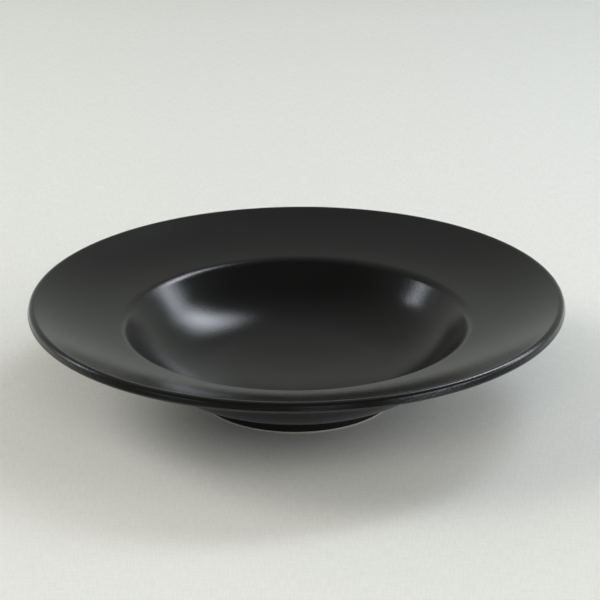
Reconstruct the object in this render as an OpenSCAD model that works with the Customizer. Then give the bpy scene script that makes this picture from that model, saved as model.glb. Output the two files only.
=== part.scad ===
// Pasta bowl with a wide dished rim: a stoneware body under a satin black glaze.
// The glaze is two separate coats, because the bare ring of the foot divides it.
// Millimetres, +Z up. The origin is the middle of the base, on the surface that the bowl stands on.

/* [Rim] */
// Diameter over the lip
rim_d = 280; // [240:1:320]
// Height of the top of the lip
bowl_h = 56; // [46:0.5:66]
// Width of the rim, from the lip to the edge of the well
rim_w = 49.5; // [42:0.5:58]
// Height of the lip above the edge of the well
rim_rise = 13.8; // [11:0.2:16.4]
// Slope of the rim next to the well, in degrees
rim_slope = 10; // [6:0.5:12]
// Width of the stretch that has this slope, out to where the rim turns up more
rim_bend_w = 24.5; // [20:0.5:29]
// Radius of the curve that dishes the rim there
rim_bend_r = 150; // [60:5:180]
// Radius of the rounded top of the lip
lip_r = 2.4; // [1.8:0.1:2.6]
// Radius of the lower edge of the lip, where the bowl is widest
lip_under_r = 1; // [0.8:0.1:1.4]
// How far the top of the lip stands in from its lower edge
lip_set = 0.5; // [0.2:0.1:0.8]

/* [Well] */
// Width of the wall of the well, seen from above
wall_w = 22; // [18:0.5:26]
// Radius of the rounded edge of the well
well_edge_r = 8; // [5:0.5:12]
// Radius of the curve from the floor into the wall
well_curve_r = 55; // [40:1:64]
// Rise of the floor from its middle to the corner of the wall
floor_rise = 7.9; // [6:0.1:9.5]
// Diameter of the ring along which the floor turns up
floor_bend_d = 45; // [36:1:54]
// Radius of the curve that dishes the floor there
floor_bend_r = 250; // [150:10:300]
// Thickness of the clay in the middle of the floor
floor_t = 4.1; // [3.8:0.1:5]

/* [Underside] */
// Thickness of the clay in the wall and the rim
clay_t = 4.6; // [4.2:0.1:5.4]
// Radius of the hollow where the wall turns out under the rim
under_edge_r = 12; // [8:0.5:16]
// Slope of the underside next to the foot ring, in degrees
belly_slope = 15; // [11:0.5:19]
// Radius of the curve from there up into the wall
belly_r = 38; // [28:1:46]

/* [Foot] */
// How far the foot ring stands inside the corner of the wall and the floor
foot_inset = 17.4; // [14:0.1:20]
// Width of the foot ring on the table
foot_w = 5.2; // [4:0.1:7]
// Height at which the underside would meet the foot ring
foot_h = 8; // [7:0.1:9]
// Depth of the glazed recess inside the foot ring, in its middle
recess_h = 3.5; // [2.8:0.1:4.2]
// Rise of the recess from its middle to the foot ring
recess_rise = 1.8; // [0.8:0.1:2.4]
// Lean of the sides of the foot ring, in degrees from upright
foot_lean = 6; // [2:1:10]
// Radius of the rounded edges that stand on the table
foot_edge_r = 0.6; // [0.4:0.1:0.9]
// Radius of the hollow between the foot ring and the underside
foot_root_r = 2; // [1.2:0.1:2.4]
// Radius of the hollow between the foot ring and the recess
recess_root_r = 1.2; // [0.6:0.1:1.6]

/* [Glaze] */
// Thickness of the glaze
glaze_t = 0.4; // [0.3:0.05:0.5]
// Height at which the glaze stops, above the bare bottom of the foot ring
glaze_line_h = 1.4; // [1.2:0.1:1.6]

/* [Hidden] */
$fn = 180;
clay_colour = [0.78, 0.73, 0.63];
glaze_colour = [0.12, 0.12, 0.12];
// How far the chords of a rounding may stray from its true arc
arc_error = 0.012;
// The most of a stretch that the roundings at its two ends take together
stretch_share = 0.98;
// The most of the clay's thickness that the rounded top of the lip takes
lip_share = 0.49;

// A corner holds its distance from the axis, its height and the radius that rounds it, as x, y and z.
// The corners are those of the clay, one thickness of glaze inside the finished sizes.
rim_x = rim_d / 2 - glaze_t;
well_edge = [rim_d / 2 - rim_w, bowl_h - rim_rise - glaze_t];
rim_bend = well_edge + rim_bend_w * [1, tan(rim_slope)];
// The outer stretch of the rim is tangent to the rounded top of the lip
lip_clay_r = min(lip_r - glaze_t, lip_share * clay_t);
lip_hub = [rim_x - lip_set - lip_clay_r, bowl_h - glaze_t - lip_clay_r];
lip_way = lip_hub - rim_bend;
lip_slope = atan2(lip_way.y, lip_way.x) + asin(lip_clay_r / norm(lip_way));
rim_way = side(90 - lip_slope);
// The underside is one thickness of clay below it, and tangent to the rounded lower edge
under_clay_r = lip_under_r - glaze_t;
under_rim = rim_bend + clay_t * turned(rim_way, -90);
hub_line = under_rim + under_clay_r * turned(rim_way, 90);
under_hub = hub_line + rim_way * (rim_x - under_clay_r - hub_line.x) / rim_way.x;
// The face of the lip is tangent to both roundings
face_way = lip_hub - under_hub;
face_turn = asin((lip_clay_r - under_clay_r) / norm(face_way));
face = turned(unit(face_way), -face_turn);
face_foot = under_hub + under_clay_r * turned(face, -90);

// From the middle of the floor up the wall and out along the rim
recess_y = recess_h + glaze_t;
floor_y = recess_y + floor_t;
floor_edge = [well_edge.x - wall_w, floor_y + floor_rise];
inside = fitted([
    [0, floor_y, 0],
    [floor_bend_d / 2, floor_y, floor_bend_r],
    corner(floor_edge, well_curve_r),
    corner(well_edge, well_edge_r - glaze_t),
    corner(rim_bend, rim_bend_r),
    corner(meeting(face_foot, face, rim_bend, rim_bend + rim_way), lip_clay_r)
]);
// From the foot ring out under the well and the rim, which keep one thickness of clay
below = moved(inside, clay_t);
foot_out = [floor_edge.x - foot_inset, 0];
foot_neck = foot_out + side(foot_lean) * foot_h / cos(foot_lean);
belly = meeting(foot_neck, side(90 - belly_slope), at(below[2]), at(below[3]));
underside = [
    corner(foot_neck, foot_root_r + glaze_t),
    corner(belly, belly_r),
    corner(below[3], under_edge_r),
    below[4],
    corner(meeting(face_foot, face, under_rim, under_rim + rim_way), under_clay_r)
];
// From the middle of the recess down to the table and across the foot ring
foot_in = foot_out - [foot_w, 0];
recess_neck = foot_in + side(-foot_lean) * (recess_y + recess_rise) / cos(foot_lean);
// The recess is level in its middle and rises from there to the foot ring in one curve
dome = [recess_neck.x, recess_rise];
foot = [
    [0, recess_y, 0],
    [dome * dome / (2 * dome.x), recess_y, dome * dome / (2 * dome.y)],
    corner(recess_neck, recess_root_r + glaze_t),
    corner(foot_in, foot_edge_r),
    corner(foot_out, foot_edge_r)
];
// All round the clay, which lies on its left
clay_outline = fitted(concat(foot, underside, backwards(inside)));

// The two stretches of it that are glazed, each from or to its line above the foot ring
outer_line = foot_out + side(foot_lean) * glaze_line_h;
recess_line = foot_in + side(-foot_lean) * glaze_line_h;
outer_clay = [
    corner(outer_line, 0),
    for (i = [len(foot):len(clay_outline) - 1]) clay_outline[i]
];
recess_clay = [
    for (i = [0:2]) clay_outline[i],
    corner(recess_line, 0)
];

function at(corner) = [corner.x, corner.y];
function corner(at, rounding) = [at.x, at.y, rounding];
function unit(v) = v / norm(v);
function turned(v, angle) = [v.x * cos(angle) - v.y * sin(angle), v.x * sin(angle) + v.y * cos(angle)];
function backwards(list) = [for (i = [len(list) - 1:-1:0]) list[i]];
// How far the way from a to b turns to the left at p
function turn(a, p, b) = atan2(cross(p - a, b - p), (p - a) * (b - p));
// The direction that leans out from upright by an angle
function side(angle) = [sin(angle), cos(angle)];
// Where the line from p along d crosses the line through a and b
function meeting(p, d, a, b) = p + d * cross(a - p, b - a) / cross(d, b - a);
// The unit vector to the right of the way from a to b
function right_of(a, b) = turned(unit(at(b) - at(a)), -90);

// A path moved to its right by a distance, with the centres of its roundings kept
function moved(path, by) = [
    for (i = [0:len(path) - 1])
        let (
            last = len(path) - 1,
            before = right_of(path[max(i - 1, 0)], path[max(i, 1)]),
            after = right_of(path[min(i, last - 1)], path[min(i + 1, last)]),
            place = at(path[i]) + by * (before + after) / (1 + before * after)
        )
        corner(place, path[i].z == 0 ? 0 : path[i].z + by * sign(cross(before, after)))
];

// A path with each rounding limited by the two stretches that it joins
function fitted(path) =
    let (
        last = len(path) - 1,
        reach = [
            for (i = [0:last])
                i == 0 || i == last
                    ? 0
                    : path[i].z * tan(abs(turn(at(path[i - 1]), at(path[i]), at(path[i + 1]))) / 2)
        ],
        room = [
            for (i = [0:last - 1])
                let (stretch = stretch_share * norm(at(path[i + 1]) - at(path[i])))
                stretch / max(stretch, reach[i] + reach[i + 1])
        ]
    )
    [
        for (i = [0:last])
            i == 0 || i == last
                ? path[i]
                : corner(at(path[i]), path[i].z * min(room[i - 1], room[i]))
    ];

// The points of the arc of radius r that rounds the corner p between a and b
function arc(a, p, b, r) =
    let (
        u = unit(p - a),
        angle = turn(a, p, b),
        start = p - u * r * tan(abs(angle) / 2),
        hub = start + sign(angle) * r * turned(u, 90),
        steps = ceil(abs(angle) / (2 * acos(1 - arc_error / r)))
    )
    [for (k = [0:steps]) hub + turned(start - hub, angle * k / steps)];

// The points of a path with its corners rounded
function rounded(path) = [
    for (i = [0:len(path) - 1])
        each path[i].z == 0
            ? [at(path[i])]
            : arc(at(path[i - 1]), at(path[i]), at(path[i + 1]), path[i].z)
];

// The round edge of a coat that ends on the clay at p, from the clay between p and q to the coat's face
function glaze_bead(p, q) =
    let (down = p + glaze_t * unit(q - p), out = sign(p.x - q.x) * 90)
    arc(down, down + turned(down - p, out), p + turned(down - p, out), glaze_t);

// The clay: well, rim and foot ring, turned in one piece
module stoneware_body() {
    color(clay_colour)
        rotate_extrude()
            polygon(rounded(clay_outline));
}

// The glaze over the whole bowl, from the outside of the foot round the lip to the middle of the well
module glaze_coat() {
    color(glaze_colour)
        rotate_extrude()
            polygon(concat(
                glaze_bead(outer_line, foot_out),
                rounded(moved(outer_clay, glaze_t)),
                backwards(rounded(outer_clay))
            ));
}

// The glaze in the recess under the foot
module foot_recess_glaze() {
    color(glaze_colour)
        rotate_extrude()
            polygon(concat(
                rounded(moved(recess_clay, glaze_t)),
                backwards(glaze_bead(recess_line, foot_in)),
                backwards(rounded(recess_clay))
            ));
}

stoneware_body();
glaze_coat();
foot_recess_glaze();
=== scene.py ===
from collections import namedtuple
from math import acos, asin, atan2, ceil, cos, pi, radians, sin, tan, tau

import bmesh
import bpy
from bpy.props import FloatProperty, FloatVectorProperty, PointerProperty
from mathutils import Matrix, Vector


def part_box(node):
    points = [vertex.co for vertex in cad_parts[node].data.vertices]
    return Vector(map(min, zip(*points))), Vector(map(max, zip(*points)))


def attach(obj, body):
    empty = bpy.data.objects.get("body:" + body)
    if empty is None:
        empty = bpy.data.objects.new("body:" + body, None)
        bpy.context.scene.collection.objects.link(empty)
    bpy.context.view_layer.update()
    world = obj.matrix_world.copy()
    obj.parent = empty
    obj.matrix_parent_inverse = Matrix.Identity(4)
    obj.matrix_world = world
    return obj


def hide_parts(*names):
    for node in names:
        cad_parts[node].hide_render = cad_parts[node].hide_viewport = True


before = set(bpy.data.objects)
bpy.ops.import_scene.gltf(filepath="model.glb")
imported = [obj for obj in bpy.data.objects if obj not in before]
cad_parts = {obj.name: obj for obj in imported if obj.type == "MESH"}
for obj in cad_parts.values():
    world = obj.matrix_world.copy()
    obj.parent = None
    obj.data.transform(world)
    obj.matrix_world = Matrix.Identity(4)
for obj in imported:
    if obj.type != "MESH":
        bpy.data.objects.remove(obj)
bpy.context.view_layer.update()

bl_info = {
    "name": "Pasta bowl",
    "version": (1, 0, 0),
    "blender": (4, 5, 0),
    "location": "3D View > Sidebar > Pasta bowl",
    "description": "Builds a wide-rim stoneware pasta bowl with a satin black glaze, and its table",
    "category": "Add Mesh",
}

# A millimetre, in metres
MM = 0.001
GLAZE_LOW, GLAZE_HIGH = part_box("glaze_coat")
# How far the steps of a rounding may stray from its true arc, where it shows and where nothing shows
SHOWN_ERROR = 0.002 * MM
HIDDEN_ERROR = 0.02 * MM
# Two points that are closer than this are one
SEAM = 0.001 * MM
# The most of a stretch that the roundings at its two ends take together
STRETCH_SHARE = 0.98
# The most of the clay's thickness that the rounded top of the lip takes
LIP_SHARE = 0.49
# Steps once round the bowl
TURNS = 256
# Radius of the cloth, and how many sides it has
CLOTH_R = 2.2
CLOTH_SIDES = 128
# Width of the camera's film, in millimetres
FILM_W = 36


def linear(hex_colour):
    """The linear RGB of an sRGB hex colour such as 1c1c1b."""
    channels = [int(hex_colour[i:i + 2], 16) / 255 for i in (0, 2, 4)]
    return [c / 12.92 if c <= 0.04045 else ((c + 0.055) / 1.055) ** 2.4 for c in channels]


def length(name, description, mm, low, high):
    """A size in metres that a user can change, with its default and range written in millimetres."""
    return FloatProperty(
        name=name, description=description, default=mm * MM, min=low * MM, max=high * MM,
        precision=5, unit="LENGTH",
    )


def angle(name, description, degrees, low, high):
    """An angle that a user can change, written in degrees."""
    return FloatProperty(
        name=name, description=description, default=radians(degrees), min=radians(low), max=radians(high),
        unit="ROTATION",
    )


def colour(name, description, hex_colour):
    """A colour that a user can change."""
    return FloatVectorProperty(
        name=name, description=description, default=linear(hex_colour), min=0, max=1, subtype="COLOR",
    )


class BowlSizes(bpy.types.PropertyGroup):
    """The sizes of the bowl, over its glaze."""

    rim_d: length("Diameter", "Over the lip", (GLAZE_HIGH[0] - GLAZE_LOW[0]) / MM, 240, 320)
    bowl_h: length("Height", "To the top of the lip", GLAZE_HIGH[2] / MM, 46, 66)
    rim_w: length("Rim width", "From the lip to the edge of the well", 49.5, 42, 58)
    rim_rise: length("Rim rise", "From the edge of the well to the top of the lip", 13.8, 11, 16.4)
    rim_slope: angle("Rim slope", "Next to the well", 10, 6, 12)
    rim_bend_w: length("Inner rim width", "Out to where the rim turns up more", 24.5, 20, 29)
    rim_bend_r: length("Rim curve", "Radius of the curve that dishes the rim", 150, 60, 180)
    lip_r: length("Lip radius", "Of its rounded top", 2.4, 1.8, 2.6)
    lip_under_r: length("Lip edge radius", "Of its lower edge, where the bowl is widest", 1, 0.8, 1.4)
    lip_set: length("Lip set", "How far its top stands in from its lower edge", 0.5, 0.2, 0.8)
    wall_w: length("Wall width", "Of the wall of the well, from above", 22, 18, 26)
    well_edge_r: length("Well edge radius", "Of the rounded edge of the well", 8, 5, 12)
    well_curve_r: length("Well curve radius", "From the floor into the wall", 55, 40, 64)
    floor_rise: length("Floor rise", "From its middle to the corner of the wall", 7.9, 6, 9.5)
    floor_bend_d: length("Floor bend", "Diameter of the ring along which it turns up", 45, 36, 54)
    floor_bend_r: length("Floor curve radius", "In and out from this ring", 250, 150, 300)
    floor_t: length("Floor thickness", "Of the clay in the middle", 4.1, 3.8, 5)
    clay_t: length("Clay thickness", "In the wall and the rim", 4.6, 4.2, 5.4)
    under_edge_r: length("Under-rim radius", "Where the wall turns out under the rim", 12, 8, 16)
    belly_slope: angle("Belly slope", "Next to the foot ring", 15, 11, 19)
    belly_r: length("Belly radius", "Up into the wall", 38, 28, 46)
    foot_inset: length("Foot inset", "Inside the corner of wall and floor", 17.4, 14, 20)
    foot_w: length("Foot width", "On the table", 5.2, 4, 7)
    foot_h: length("Foot height", "Where the underside meets the foot ring", 8, 7, 9)
    recess_h: length("Recess depth", "Inside the foot ring, in its middle", 3.5, 2.8, 4.2)
    recess_rise: length("Recess rise", "From its middle to the foot ring", 1.8, 0.8, 2.4)
    foot_lean: angle("Foot lean", "Of the sides of the foot ring", 6, 2, 10)
    foot_edge_r: length("Foot edge radius", "Of the edges that stand on the table", 0.6, 0.4, 0.9)
    foot_root_r: length("Foot root radius", "Between the foot ring and the underside", 2, 1.2, 2.4)
    recess_root_r: length("Recess root radius", "Between the foot ring and the recess", 1.2, 0.6, 1.6)
    glaze_t: length("Glaze thickness", "Over the clay", 0.4, 0.3, 0.5)
    glaze_line_h: length("Glaze line", "Height at which the glaze stops", 1.4, 1.2, 1.6)


class BowlFinish(bpy.types.PropertyGroup):
    """The colours of the bowl and of the table."""

    glaze: colour("Glaze", "Satin black", "101010")
    clay: colour("Bare clay", "Pale stoneware of the foot ring", "c9c3b4")
    cloth: colour("Cloth", "Fine pale cloth on the table", "d8d9d5")


class PhotoView(bpy.types.PropertyGroup):
    """Where the camera stands."""

    distance: length("Distance", "From the camera to the bowl", 1307, 500, 3000)
    elevation: angle("Elevation", "Of the camera above the table", 21.74, 0, 90)
    aim_x: length("Aim across", "Where the camera aims, to the right of the axis", 1.9, -50, 50)
    aim_z: length("Aim height", "Where the camera aims, above the table", 53.2, 0, 100)
    roll: angle("Roll", "Of the camera", -0.51, -5, 5)
    lens: FloatProperty(
        name="Lens", description="Focal length", default=150, min=20, max=300, unit="CAMERA",
    )
    light: FloatProperty(
        name="Light", description="Of all softboxes", default=1, min=0, max=3, subtype="FACTOR",
    )


# A corner of a half outline: its distance from the axis and its height, its rounding, and whether it shows
Corner = namedtuple("Corner", "at r shown", defaults=(0.0, True))


def side(lean):
    """The direction that leans out from upright by an angle."""
    return Vector((sin(lean), cos(lean)))


def turn(a, p, b):
    """How far the way from a to b turns to the left at p."""
    u, v = p - a, b - p
    return atan2(u.x * v.y - u.y * v.x, u.dot(v))


def meeting(p, d, a, b):
    """Where the line from p along d crosses the line through a and b."""
    e = b - a
    return p + d * ((a - p).x * e.y - (a - p).y * e.x) / (d.x * e.y - d.y * e.x)


def right_of(a, b):
    """The unit vector to the right of the way from a to b."""
    u = (b - a).normalized()
    return Vector((u.y, -u.x))


def moved(path, by):
    """A path moved to its right by a distance, with the centres of its roundings kept."""
    last = len(path) - 1
    at = [c.at for c in path]
    out = []
    for i, c in enumerate(path):
        before = right_of(at[max(i - 1, 0)], at[max(i, 1)])
        after = right_of(at[min(i, last - 1)], at[min(i + 1, last)])
        bend = before.x * after.y - before.y * after.x
        wider = 0 if not c.r or not bend else by if bend > 0 else -by
        out.append(Corner(c.at + (before + after) * by / (1 + before.dot(after)), c.r + wider))
    return out


def fitted(path):
    """A path with each rounding limited by the two stretches that it joins."""
    at = [c.at for c in path]
    reach = [0.0] * len(path)
    for i in range(1, len(path) - 1):
        reach[i] = path[i].r * tan(abs(turn(at[i - 1], at[i], at[i + 1])) / 2)
    room = []
    for i in range(len(path) - 1):
        stretch = STRETCH_SHARE * (at[i + 1] - at[i]).length
        room.append(stretch / max(stretch, reach[i] + reach[i + 1]))
    middle = [c._replace(r=c.r * min(room[i], room[i + 1])) for i, c in enumerate(path[1:-1])]
    return [path[0], *middle, path[-1]]


class Outlines:
    """The half outlines of the clay and of its two coats of glaze."""

    def __init__(self, s):
        self.glaze_t = s.glaze_t
        # The corners are those of the clay, one thickness of glaze inside the finished sizes
        rim_x = s.rim_d / 2 - s.glaze_t
        well_edge = Vector((s.rim_d / 2 - s.rim_w, s.bowl_h - s.rim_rise - s.glaze_t))
        rim_bend = well_edge + s.rim_bend_w * Vector((1, tan(s.rim_slope)))
        # The outer stretch of the rim is tangent to the rounded top of the lip
        lip_r = min(s.lip_r - s.glaze_t, LIP_SHARE * s.clay_t)
        lip_hub = Vector((rim_x - s.lip_set - lip_r, s.bowl_h - s.glaze_t - lip_r))
        lip_way = lip_hub - rim_bend
        lip_slope = atan2(lip_way.y, lip_way.x) + asin(lip_r / lip_way.length)
        rim_way = side(radians(90) - lip_slope)
        # The underside is one thickness of clay below it, and tangent to the rounded lower edge
        under_r = s.lip_under_r - s.glaze_t
        under_rim = rim_bend + s.clay_t * right_of(rim_bend, rim_bend + rim_way)
        hub_line = under_rim - under_r * right_of(rim_bend, rim_bend + rim_way)
        under_hub = hub_line + rim_way * (rim_x - under_r - hub_line.x) / rim_way.x
        # The face of the lip is tangent to both roundings
        face_way = lip_hub - under_hub
        face = Matrix.Rotation(-asin((lip_r - under_r) / face_way.length), 2) @ face_way.normalized()
        face_foot = under_hub + under_r * right_of(under_hub, under_hub + face)

        # From the middle of the floor up the wall and out along the rim
        recess_y = s.recess_h + s.glaze_t
        floor_y = recess_y + s.floor_t
        floor_edge = Vector((well_edge.x - s.wall_w, floor_y + s.floor_rise))
        inside = fitted([
            Corner(Vector((0, floor_y))),
            Corner(Vector((s.floor_bend_d / 2, floor_y)), s.floor_bend_r),
            Corner(floor_edge, s.well_curve_r),
            Corner(well_edge, s.well_edge_r - s.glaze_t),
            Corner(rim_bend, s.rim_bend_r),
            Corner(meeting(face_foot, face, rim_bend, rim_bend + rim_way), lip_r),
        ])
        # From the foot ring out under the well and the rim, which keep one thickness of clay
        _, _, under_floor, under_edge, under_bend, _ = moved(inside, s.clay_t)
        foot_out = Vector((floor_edge.x - s.foot_inset, 0))
        foot_neck = foot_out + side(s.foot_lean) * s.foot_h / cos(s.foot_lean)
        belly = meeting(foot_neck, side(radians(90) - s.belly_slope), under_floor.at, under_edge.at)
        underside = [
            Corner(foot_neck, s.foot_root_r + s.glaze_t),
            Corner(belly, s.belly_r),
            Corner(under_edge.at, s.under_edge_r),
            under_bend,
            Corner(meeting(face_foot, face, under_rim, under_rim + rim_way), under_r),
        ]
        # The recess is level in its middle and rises from there to the foot ring in one curve
        foot_in = foot_out - Vector((s.foot_w, 0))
        recess_neck = foot_in + side(-s.foot_lean) * (recess_y + s.recess_rise) / cos(s.foot_lean)
        dome = Vector((recess_neck.x, s.recess_rise))
        recess = [
            Corner(Vector((0, recess_y))),
            Corner(Vector((dome.dot(dome) / (2 * dome.x), recess_y)), dome.dot(dome) / (2 * dome.y)),
            Corner(recess_neck, s.recess_root_r + s.glaze_t),
        ]
        foot = [Corner(foot_in, s.foot_edge_r), Corner(foot_out, s.foot_edge_r)]
        clay = fitted([*recess, *foot, *underside, *inside[::-1]])

        # The foot ring is all of the clay that shows, because the glaze leaves it bare
        line_out = Corner(foot_out + side(s.foot_lean) * s.glaze_line_h)
        line_in = Corner(foot_in + side(-s.foot_lean) * s.glaze_line_h)
        foot_starts = len(recess)
        foot_ends = foot_starts + len(foot)
        recess, foot, outside = clay[:foot_starts], clay[foot_starts:foot_ends], clay[foot_ends:]
        self.clay = [*hidden(recess), *foot, *hidden(outside)]
        self.outer_coat = self.coat([line_out, *outside], foot_out)
        self.recess_coat = self.coat([line_in, *recess[::-1]], foot_in)

    def coat(self, clay, edge):
        """The glaze on a stretch of clay that starts at the glaze line, above an edge of the foot ring.

        It is closed along the clay, and ends below the line in a rounded bead.
        """
        hub = clay[0].at
        outward = self.glaze_t if clay[1].at.x > hub.x else -self.glaze_t
        face = moved(clay, outward)
        down = hub + self.glaze_t * (edge - hub).normalized()
        bead = Corner(down + face[0].at - hub, self.glaze_t)
        return [Corner(down), bead, *face[1:], *hidden(clay[:0:-1])]


def hidden(path):
    """A path that lies where nothing shows, so that its roundings need fewer steps."""
    return [c._replace(shown=False) for c in path]


def draw_outline(bm, path):
    """Draws a closed half outline as edges in the XZ plane, each rounding as an arc about its own centre.

    A straight stretch is cut one step of the arc away from each rounding, which keeps its shading flat.
    """
    def place(p):
        """A point of the outline in space."""
        return Vector((p.x, 0, p.y))

    def run_to(vert, p):
        """Draws an edge from the last point to p, unless they are one, and gives its end."""
        if (place(p) - vert.co).length < SEAM:
            return vert
        new = bmesh.ops.extrude_vert_indiv(bm, verts=[vert])["verts"]
        bmesh.ops.translate(bm, verts=new, vec=place(p) - vert.co)
        return new[0]

    first = bm.verts.new(place(path[0].at))
    vert = first
    for i, c in enumerate(path[1:], 1):
        before, after = path[i - 1].at, path[(i + 1) % len(path)].at
        if not c.r:
            vert = run_to(vert, c.at)
            continue
        bend = turn(before, c.at, after)
        way, way_on = (c.at - before).normalized(), (after - c.at).normalized()
        reach = c.r * tan(abs(bend) / 2)
        start = c.at - way * reach
        hub = start + Vector((-way.y, way.x)) * (c.r if bend > 0 else -c.r)
        error = SHOWN_ERROR if c.shown else HIDDEN_ERROR
        steps = ceil(abs(bend) / (2 * acos(1 - error / c.r)))
        step = way * c.r * abs(bend) / steps
        if c.shown and (start - Vector((vert.co.x, vert.co.z))).dot(way) > 2 * step.length:
            vert = run_to(vert, start - step)
        vert = run_to(vert, start)
        arc = bmesh.ops.spin(
            bm, geom=[vert], cent=place(hub), axis=(0, -1, 0), angle=bend, steps=steps, use_duplicate=False,
        )
        vert = next(g for g in arc["geom_last"] if isinstance(g, bmesh.types.BMVert))
        left = (after - c.at).length - reach
        if c.shown and left > 2 * step.length:
            vert = run_to(vert, c.at + way_on * (reach + step.length))
    bm.edges.new((vert, first))


def by_points(part, count):
    """A number of its own for each edge or face, which follows the order of the points."""
    numbers = [vert.index for vert in part.verts]
    return min(numbers) * count + max(numbers)


def lathe(name, path):
    """A closed solid of revolution, turned from its half outline."""
    bm = bmesh.new()
    draw_outline(bm, path)
    bmesh.ops.remove_doubles(bm, verts=bm.verts, dist=SEAM)
    on_axis = [e for e in bm.edges if all(v.co.x < SEAM for v in e.verts)]
    bmesh.ops.delete(bm, geom=on_axis, context="EDGES")
    bmesh.ops.spin(
        bm, geom=bm.verts[:] + bm.edges[:], cent=(0, 0, 0), axis=(0, 0, 1), angle=tau, steps=TURNS,
        use_merge=True, use_duplicate=False,
    )
    bmesh.ops.remove_doubles(bm, verts=bm.verts, dist=SEAM)
    bmesh.ops.recalc_face_normals(bm, faces=bm.faces)
    # The spin stores its edges and faces in an order that changes from run to run, unlike its points
    bm.verts.index_update()
    for parts in (bm.edges, bm.faces):
        parts.sort(key=lambda part: by_points(part, len(bm.verts)))
    for face in bm.faces:
        face.smooth = True
    mesh = bpy.data.meshes.new(name)
    bm.to_mesh(mesh)
    bm.free()
    piece = bpy.data.objects.new(name, mesh)
    bpy.context.scene.collection.objects.link(piece)
    return piece


def add(tree, kind, settings=None, links=None):
    """Adds a node. Settings and links are keyed by the name or the number of an input, or by a property."""
    node = tree.nodes.new(kind)
    for key, value in (settings or {}).items():
        if isinstance(key, int) or key in node.inputs:
            node.inputs[key].default_value = value
        else:
            setattr(node, key, value)
    for key, source in (links or {}).items():
        tree.links.new(source, node.inputs[key])
    return node


def new_material(name, viewport):
    """A material with its nodes cleared, ready to be built."""
    mat = bpy.data.materials.new(name)
    mat.use_nodes = True
    mat.node_tree.nodes.clear()
    mat.diffuse_color = (*viewport, 1)
    return mat, mat.node_tree


def finish_surface(tree, settings, links):
    """Ends a material in one principled shader."""
    shader = add(tree, "ShaderNodeBsdfPrincipled", settings, links)
    add(tree, "ShaderNodeOutputMaterial", links={"Surface": shader.outputs["BSDF"]})


def satin_black_glaze(look):
    """A satin black reactive glaze, sprayed and fired.

    It gives the eye a deep neutral black with broad soft highlights, which break up into a fine grain
    where a lamp is mirrored, and a surface that waves a little as a thick glaze does.
    """
    mat, tree = new_material("satin_black_glaze", look.glaze)
    place = add(tree, "ShaderNodeTexCoord").outputs["Object"]
    # The real grain is too fine to show, at about 0.4 mm, so it is drawn coarser
    grain_mm = 1.1
    grain_depth_mm = 0.06
    wave_mm = 14
    wave_depth_mm = 0.12
    grain = add(tree, "ShaderNodeTexNoise", {"Scale": 1 / (grain_mm * MM), "Detail": 2.0}, {"Vector": place})
    wave = add(tree, "ShaderNodeTexNoise", {"Scale": 1 / (wave_mm * MM), "Detail": 1.0}, {"Vector": place})
    waves = add(
        tree, "ShaderNodeBump", {"Strength": 0.25, "Distance": wave_depth_mm * MM},
        {"Height": wave.outputs["Fac"]},
    )
    bumps = add(
        tree, "ShaderNodeBump", {"Strength": 1.0, "Distance": grain_depth_mm * MM},
        {"Height": grain.outputs["Fac"], "Normal": waves.outputs["Normal"]},
    )
    rough = add(tree, "ShaderNodeMapRange", {"To Min": 0.15, "To Max": 0.20}, {"Value": wave.outputs["Fac"]})
    finish_surface(
        tree, {"Base Color": (*look.glaze, 1), "IOR": 1.5},
        {"Roughness": rough.outputs["Result"], "Normal": bumps.outputs["Normal"]},
    )
    return mat


def bare_stoneware(look):
    """Pale stoneware, wiped clean of glaze and fired.

    It gives the eye a dry cream band with a fine sandy grain and a few darker specks.
    """
    mat, tree = new_material("bare_stoneware", look.clay)
    place = add(tree, "ShaderNodeTexCoord").outputs["Object"]
    grain_mm = 0.5
    grain_depth_mm = 0.05
    speck_mm = 1.6
    grain = add(tree, "ShaderNodeTexNoise", {"Scale": 1 / (grain_mm * MM), "Detail": 3.0}, {"Vector": place})
    speck = add(tree, "ShaderNodeTexVoronoi", {"Scale": 1 / (speck_mm * MM)}, {"Vector": place})
    dark = add(
        tree, "ShaderNodeMapRange", {"From Min": 0.08, "From Max": 0.2, "To Min": 0.75, "To Max": 1.0},
        {"Value": speck.outputs["Distance"]},
    )
    tone = add(tree, "ShaderNodeMapRange", {"To Min": 0.9, "To Max": 1.06}, {"Value": grain.outputs["Fac"]})
    shade = add(
        tree, "ShaderNodeMath", {"operation": "MULTIPLY"},
        {0: dark.outputs["Result"], 1: tone.outputs["Result"]},
    )
    tint = add(
        tree, "ShaderNodeVectorMath", {"operation": "SCALE", 0: look.clay},
        {"Scale": shade.outputs["Value"]},
    )
    bump = add(
        tree, "ShaderNodeBump", {"Strength": 0.6, "Distance": grain_depth_mm * MM},
        {"Height": grain.outputs["Fac"]},
    )
    finish_surface(
        tree, {"Roughness": 0.85, "IOR": 1.5},
        {"Base Color": tint.outputs["Vector"], "Normal": bump.outputs["Normal"]},
    )
    return mat


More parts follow.
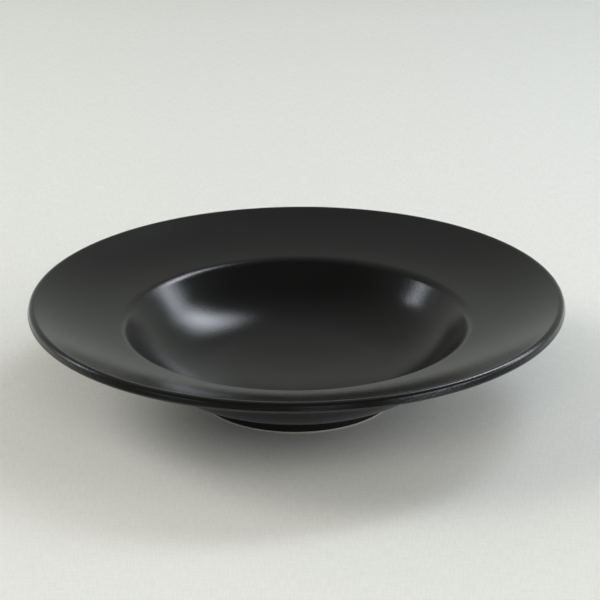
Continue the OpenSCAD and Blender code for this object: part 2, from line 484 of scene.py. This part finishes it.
def fine_cloth(look):
    """A fine pale cloth laid flat over the table.

    It gives the eye a soft plain ground with a faint weave that is just there when looked at closely.
    """
    mat, tree = new_material("fine_cloth", look.cloth)
    place = add(tree, "ShaderNodeTexCoord").outputs["Object"]
    # The real threads are too fine to show, at about 0.3 mm, so they are drawn coarser
    thread_mm = 0.8
    length_mm = 9
    thread_depth_mm = 0.1
    across = 1 / (thread_mm * MM)
    along = 1 / (length_mm * MM)
    threads = []
    for scales in ((across, along, along), (along, across, along)):
        drawn = add(tree, "ShaderNodeVectorMath", {"operation": "MULTIPLY", 1: scales}, {0: place})
        noise = add(
            tree, "ShaderNodeTexNoise", {"Scale": 1.0, "Detail": 1.0}, {"Vector": drawn.outputs["Vector"]},
        )
        threads.append(noise.outputs["Fac"])
    weave = add(tree, "ShaderNodeMath", {"operation": "ADD"}, {0: threads[0], 1: threads[1]})
    tone = add(
        tree, "ShaderNodeMapRange", {"From Min": 0.5, "From Max": 1.5, "To Min": 0.93, "To Max": 1.07},
        {"Value": weave.outputs["Value"]},
    )
    tint = add(
        tree, "ShaderNodeVectorMath", {"operation": "SCALE", 0: look.cloth},
        {"Scale": tone.outputs["Result"]},
    )
    bump = add(
        tree, "ShaderNodeBump", {"Strength": 0.3, "Distance": thread_depth_mm * MM},
        {"Height": weave.outputs["Value"]},
    )
    finish_surface(
        tree, {"Roughness": 0.95, "IOR": 1.4},
        {"Base Color": tint.outputs["Vector"], "Normal": bump.outputs["Normal"]},
    )
    return mat


def dress(piece, material, node):
    """Gives a piece its finish and lets it stand for a node of the frame."""
    piece.data.materials.append(material)
    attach(piece, "root")
    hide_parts(node)


class TurnClayBody(bpy.types.Operator):
    """Turns the clay body: well, rim and foot ring in one piece"""

    bl_idname = "pasta_bowl.turn_clay_body"
    bl_label = "Turn the clay body"

    def execute(self, context):
        scene = context.scene
        body = lathe("clay_body", Outlines(scene.bowl_sizes).clay)
        dress(body, bare_stoneware(scene.bowl_finish), "stoneware_body")
        return {"FINISHED"}


class GlazeBowl(bpy.types.Operator):
    """Lays the glaze over the bowl and in the recess under its foot"""

    bl_idname = "pasta_bowl.glaze_bowl"
    bl_label = "Glaze the bowl"

    def execute(self, context):
        scene = context.scene
        outlines = Outlines(scene.bowl_sizes)
        glaze = satin_black_glaze(scene.bowl_finish)
        dress(lathe("bowl_glaze", outlines.outer_coat), glaze, "glaze_coat")
        dress(lathe("recess_glaze", outlines.recess_coat), glaze, "foot_recess_glaze")
        return {"FINISHED"}


# The softboxes are a little blue, the fills a little warm and the room a little green, in linear colour
BLUISH = (0.93, 1.0, 1.09)
WARM = (1.05, 1.0, 0.93)
GREENISH = (0.95, 1.0, 0.93)

# Direction from the bowl and roll in degrees, distance and size in metres, the brightness of its middle, its
# colour, and whether the glaze mirrors it
Softbox = namedtuple("Softbox", "name azimuth elevation roll distance width height radiance tint mirrored")
SOFTBOXES = (
    # One tall softbox at the right, which is brighter towards its upper middle
    Softbox("right_softbox", 56, 46, -30, 1.50, 0.70, 1.30, 5.4, BLUISH, True),
    Softbox("right_softbox_heart", 54, 49, -30, 1.49, 0.40, 0.60, 4.2, BLUISH, True),
    Softbox("right_softbox_top", 47, 60, -30, 1.50, 0.60, 0.60, 2.4, BLUISH, True),
    Softbox("right_softbox_foot", 69, 31, -10, 1.50, 0.50, 0.60, 3.8, BLUISH, True),
    Softbox("right_softbox_back", 37, 50, -30, 1.50, 0.50, 0.70, 2.2, BLUISH, True),
    Softbox("right_spill", 75, 22, 0, 1.50, 1.00, 0.70, 2.8, BLUISH, True),
    # A small one at the left, with light spilling below it
    Softbox("left_softbox", -72, 33, 0, 1.50, 0.50, 0.40, 3.4, BLUISH, True),
    Softbox("left_softbox_heart", -71, 33, 0, 1.49, 0.24, 0.20, 9.0, BLUISH, True),
    Softbox("left_spill", -76, 19, 0, 1.50, 0.80, 0.40, 3.2, BLUISH, True),
    # Low strips that draw the lines along the near lip
    Softbox("right_strip", 118, 16, 0, 1.60, 1.80, 0.50, 4.2, BLUISH, True),
    Softbox("right_upper_strip", 118, 30, 0, 1.60, 1.80, 0.40, 1.2, BLUISH, True),
    Softbox("front_strip", 170, 18, 0, 1.60, 0.80, 0.40, 1.0, BLUISH, True),
    Softbox("left_strip", -130, 18, 0, 1.60, 1.20, 0.40, 1.1, BLUISH, True),
    # Fills that light the cloth and soften the shadows
    Softbox("left_fill", -90, 40, 0, 1.80, 1.60, 1.40, 6.0, WARM, False),
    Softbox("front_fill", 180, 40, 0, 1.80, 2.00, 1.40, 3.6, WARM, False),
    Softbox("back_left_fill", -45, 25, 0, 1.80, 1.60, 1.10, 2.8, WARM, False),
    Softbox("right_fill", 110, 30, 0, 1.80, 1.60, 1.10, 3.4, WARM, False),
    Softbox("low_front_fill", 180, 10, 0, 1.80, 2.80, 0.50, 1.8, WARM, False),
)

# How far out from its middle a softbox starts to fade and where it is dark, as shares of its width and height
FADES_FROM = 0.1
DARK_AT = 0.5


def hang(box, level):
    """Hangs a softbox so that it faces the bowl, with a face that fades from its middle to its edges."""
    light = bpy.data.lights.new(box.name, "AREA")
    light.shape = "RECTANGLE"
    light.size = box.width
    light.size_y = box.height
    # A flat face sends out pi times its brightness from each square metre
    light.energy = level * box.radiance * box.width * box.height * pi
    light.use_nodes = True
    tree = light.node_tree
    tree.nodes.clear()
    # Places on the face run from 0 to 1 across it and up it
    spot = add(tree, "ShaderNodeNewGeometry").outputs["Parametric"]
    away = add(tree, "ShaderNodeVectorMath", {"operation": "DISTANCE", 1: (0.5, 0.5, 0)}, {0: spot})
    glow = add(
        tree, "ShaderNodeMapRange",
        {"interpolation_type": "SMOOTHSTEP", "From Min": DARK_AT, "From Max": FADES_FROM},
        {"Value": away.outputs["Value"]},
    )
    face = add(tree, "ShaderNodeEmission", {"Color": (*box.tint, 1)}, {"Strength": glow.outputs["Result"]})
    add(tree, "ShaderNodeOutputLight", links={"Surface": face.outputs["Emission"]})
    lamp = bpy.data.objects.new(box.name, light)
    az, el = radians(box.azimuth), radians(box.elevation)
    way = Vector((sin(az) * cos(el), cos(az) * cos(el), sin(el)))
    facing = way.to_track_quat("Z", "Y").to_matrix() @ Matrix.Rotation(radians(box.roll), 3, "Z")
    lamp.matrix_world = Matrix.Translation(way * box.distance) @ facing.to_4x4()
    lamp.visible_camera = False
    lamp.visible_glossy = box.mirrored
    bpy.context.scene.collection.objects.link(lamp)


class LayTable(bpy.types.Operator):
    """Lays the cloth, and sets the lamps and the camera"""

    bl_idname = "pasta_bowl.lay_table"
    bl_label = "Lay the table"

    def execute(self, context):
        scene = context.scene
        self.cloth(scene)
        self.room(scene)
        for box in SOFTBOXES:
            hang(box, scene.photo_view.light)
        self.camera(scene)
        scene.view_settings.view_transform = "Standard"
        return {"FINISHED"}

    def cloth(self, scene):
        """A round cloth, flat under the bowl and far around it."""
        bm = bmesh.new()
        bmesh.ops.create_circle(bm, cap_ends=True, radius=CLOTH_R, segments=CLOTH_SIDES)
        mesh = bpy.data.meshes.new("table_cloth")
        bm.to_mesh(mesh)
        bm.free()
        floor = bpy.data.objects.new("table_cloth", mesh)
        scene.collection.objects.link(floor)
        floor.data.materials.append(fine_cloth(scene.bowl_finish))

    def room(self, scene):
        """A dim room that is lighter behind the bowl and near its level."""
        world = bpy.data.worlds.new("room")
        scene.world = world
        world.use_nodes = True
        tree = world.node_tree
        tree.nodes.clear()
        way = add(tree, "ShaderNodeTexCoord").outputs["Generated"]
        parts = add(tree, "ShaderNodeSeparateXYZ", links={"Vector": way})
        # The wall behind the camera has 0.15 of the brightness of the one behind the bowl
        behind = add(
            tree, "ShaderNodeMapRange",
            {"From Min": -0.3, "From Max": 0.5, "To Min": 0.15, "To Max": 1.0},
            {"Value": parts.outputs["Y"]},
        )
        # High up the room is about half as bright as near the level of the table
        level = add(
            tree, "ShaderNodeMapRange",
            {"From Min": 0.1, "From Max": 0.65, "To Min": 0.58, "To Max": 0.28},
            {"Value": parts.outputs["Z"]},
        )
        light = add(
            tree, "ShaderNodeMath", {"operation": "MULTIPLY"},
            {0: behind.outputs["Result"], 1: level.outputs["Result"]},
        )
        walls = add(
            tree, "ShaderNodeBackground", {"Color": (*GREENISH, 1)}, {"Strength": light.outputs["Value"]},
        )
        add(tree, "ShaderNodeOutputWorld", links={"Surface": walls.outputs["Background"]})

    def camera(self, scene):
        """The camera of the photograph, placed by its distance, height and aim."""
        view = scene.photo_view
        data = bpy.data.cameras.new("photo_camera")
        data.lens = view.lens
        data.sensor_width = FILM_W
        camera = bpy.data.objects.new("photo_camera", data)
        scene.collection.objects.link(camera)
        back = Vector((0, -cos(view.elevation), sin(view.elevation)))
        aim = Vector((view.aim_x, 0, view.aim_z))
        upright = back.to_track_quat("Z", "Y").to_matrix() @ Matrix.Rotation(view.roll, 3, "Z")
        camera.matrix_world = Matrix.Translation(aim + back * view.distance) @ upright.to_4x4()
        scene.camera = camera


class BowlPanel(bpy.types.Panel):
    """The steps that build the bowl, with its sizes and colours"""

    bl_idname = "VIEW3D_PT_pasta_bowl"
    bl_label = "Pasta bowl"
    bl_space_type = "VIEW_3D"
    bl_region_type = "UI"
    bl_category = "Pasta bowl"

    def draw(self, context):
        scene = context.scene
        for step in STEPS:
            self.layout.operator(step.bl_idname)
        for group in (scene.bowl_sizes, scene.bowl_finish, scene.photo_view):
            box = self.layout.box()
            for name in group.bl_rna.properties.keys():
                if name not in ("rna_type", "name"):
                    box.prop(group, name)


GROUPS = {"bowl_sizes": BowlSizes, "bowl_finish": BowlFinish, "photo_view": PhotoView}
STEPS = (TurnClayBody, GlazeBowl, LayTable)


def register():
    """Adds the sizes, the steps and the panel to Blender."""
    for name, group in GROUPS.items():
        bpy.utils.register_class(group)
        setattr(bpy.types.Scene, name, PointerProperty(type=group))
    for cls in (*STEPS, BowlPanel):
        bpy.utils.register_class(cls)


def unregister():
    """Takes them away again."""
    for cls in (BowlPanel, *STEPS[::-1]):
        bpy.utils.unregister_class(cls)
    for name, group in GROUPS.items():
        delattr(bpy.types.Scene, name)
        bpy.utils.unregister_class(group)


def main():
    """Builds the bowl and its table."""
    register()
    bpy.ops.pasta_bowl.turn_clay_body()
    bpy.ops.pasta_bowl.glaze_bowl()
    bpy.ops.pasta_bowl.lay_table()


if __name__ == "__main__":
    main()
